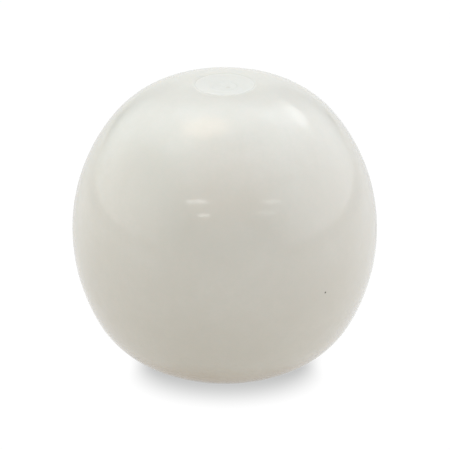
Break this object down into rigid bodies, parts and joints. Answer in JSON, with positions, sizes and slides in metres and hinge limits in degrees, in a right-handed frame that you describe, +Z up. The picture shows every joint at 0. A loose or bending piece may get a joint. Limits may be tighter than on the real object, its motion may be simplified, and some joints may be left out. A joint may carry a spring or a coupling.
{
  "type": "cue ball",
  "caption": "White cast resin table ball round an iron core and centring pin, with full shoulders, a shallow dish in the crown and a flat seat.",
  "frame": {"origin": "centre of the flat seat underneath the ball", "axes": "+Z goes up along the axis of the ball, from the seat through the dish in the crown; +X and +Y are any two directions across it, because the ball is round about +Z"},
  "size_m": [0.0572, 0.0572, 0.055],
  "materials": {
    "white_resin": "polished",
    "core_iron": "matte",
    "pin_resin": "satin"
  },
  "bodies": {
    "root": {"cover": "white_resin", "core": "core_iron", "locating_pin": "pin_resin"}
  },
  "joints": []
}
